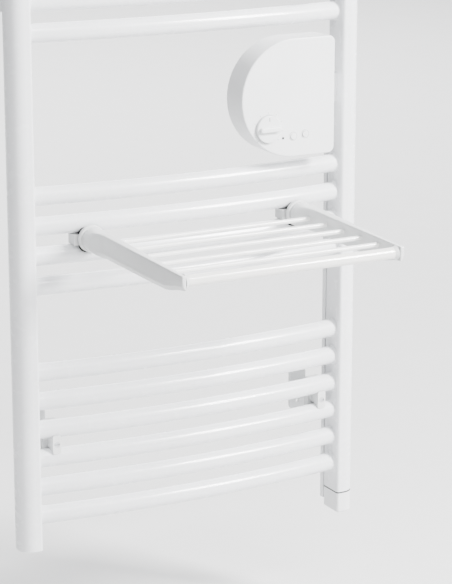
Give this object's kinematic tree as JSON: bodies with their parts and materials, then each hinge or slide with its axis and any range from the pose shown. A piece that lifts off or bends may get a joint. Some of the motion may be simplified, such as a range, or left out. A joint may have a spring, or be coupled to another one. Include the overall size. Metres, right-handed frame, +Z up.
{
  "type": "towel warmer rack",
  "caption": "Wall-hung electric ladder towel warmer with bowed white tubes, a control box and a clamp-on drying rack.",
  "frame": {"origin": "middle of the four wall screw holes, on the face of the wall", "axes": "+X to the right along the wall, +Y into the wall, +Z up; the front faces -Y"},
  "size_m": [0.52, 0.3481, 0.933],
  "materials": {
    "enamel": "gloss white enamel",
    "white_plastic": "satin white moulding",
    "arm_plastic": "satin white moulding",
    "bar_enamel": "warm white gloss enamel",
    "rod_enamel": "white gloss enamel",
    "bracket_plastic": "fine matt white",
    "steel": "zinc plated",
    "vent_chrome": "polished",
    "rubber": "matt black",
    "dark_plastic": "matt",
    "lens": "polished dark",
    "board": "solder resist",
    "terminal_green": "matt"
  },
  "bodies": {
    "ladder": {"tube_01": "enamel", "tube_02": "enamel", "tube_03": "enamel", "tube_04": "enamel", "tube_05": "enamel", "tube_06": "enamel", "tube_07": "enamel", "tube_08": "enamel", "tube_09": "enamel", "tube_10": "enamel", "tube_11": "enamel", "tube_12": "enamel", "tube_13": "enamel", "tube_14": "enamel", "tube_15": "enamel", "post_left": "enamel", "post_right": "enamel", "post_plugs": "white_plastic", "heater_head": "white_plastic", "wire_channel": "white_plastic", "box_housing": "white_plastic", "rear_shell": "white_plastic", "front_cover": "white_plastic", "rack_arm_left": "arm_plastic", "rack_arm_right": "arm_plastic", "bar_collars": "arm_plastic", "clamp_block_left": "arm_plastic", "clamp_block_right": "arm_plastic", "front_bar": "bar_enamel", "rack_rods": "rod_enamel", "bracket_plates": "bracket_plastic", "bracket_saddles": "bracket_plastic", "bracket_clamps": "bracket_plastic", "bracket_stems": "steel", "bracket_screws": "steel", "housing_screws": "steel", "cover_screws": "steel", "heating_element": "steel", "air_vent": "vent_chrome", "heater_gasket": "rubber", "saddle_pad_left": "rubber", "saddle_pad_right": "rubber", "cable_gland": "dark_plastic", "power_relay": "dark_plastic", "dial_switch": "dark_plastic", "key_switches": "dark_plastic", "sensor_lens": "lens", "circuit_board": "board", "terminal_block": "terminal_green"},
    "dial": {"dial_knob": "white_plastic", "dial_shaft": "dark_plastic"},
    "left_button": {"button_left": "white_plastic"},
    "right_button": {"button_right": "white_plastic"},
    "left_ring": {"lock_ring_left": "arm_plastic"},
    "right_ring": {"lock_ring_right": "arm_plastic"},
    "left_jaw": {"rear_jaw_left": "arm_plastic", "draw_bolt_left": "steel"},
    "right_jaw": {"rear_jaw_right": "arm_plastic", "draw_bolt_right": "steel"}
  },
  "joints": [
    {"name": "dial_turn", "type": "hinge", "parent": "ladder", "child": "dial", "pos_m": [0.097, -0.105, 0.1], "axis": [0, -1, 0], "range_deg": [-135, 135]},
    {"name": "left_button_press", "type": "slide", "parent": "ladder", "child": "left_button", "axis": [0, 1, 0], "range_m": [0, 0.001], "stiffness_N_per_m": 800},
    {"name": "right_button_press", "type": "slide", "parent": "ladder", "child": "right_button", "axis": [0, 1, 0], "range_m": [0, 0.001], "stiffness_N_per_m": 800},
    {"name": "left_ring_turn", "type": "hinge", "parent": "ladder", "child": "left_ring", "pos_m": [-0.156, -0.085, -0.025], "axis": [0, -1, 0], "range_deg": [0, 90]},
    {"name": "left_jaw_slide", "type": "slide", "parent": "ladder", "child": "left_jaw", "axis": [0, 1, 0], "range_m": [0, 0.004]},
    {"name": "right_ring_turn", "type": "hinge", "parent": "ladder", "child": "right_ring", "pos_m": [0.156, -0.085, -0.025], "axis": [0, -1, 0], "range_deg": [0, 90]},
    {"name": "right_jaw_slide", "type": "slide", "parent": "ladder", "child": "right_jaw", "axis": [0, 1, 0], "range_m": [0, 0.004]}
  ],
  "couplings": [
    {"joint": "left_ring_turn", "follows": "left_jaw_slide", "rad_per_m": 392.69},
    {"joint": "right_ring_turn", "follows": "right_jaw_slide", "rad_per_m": 392.69}
  ]
}
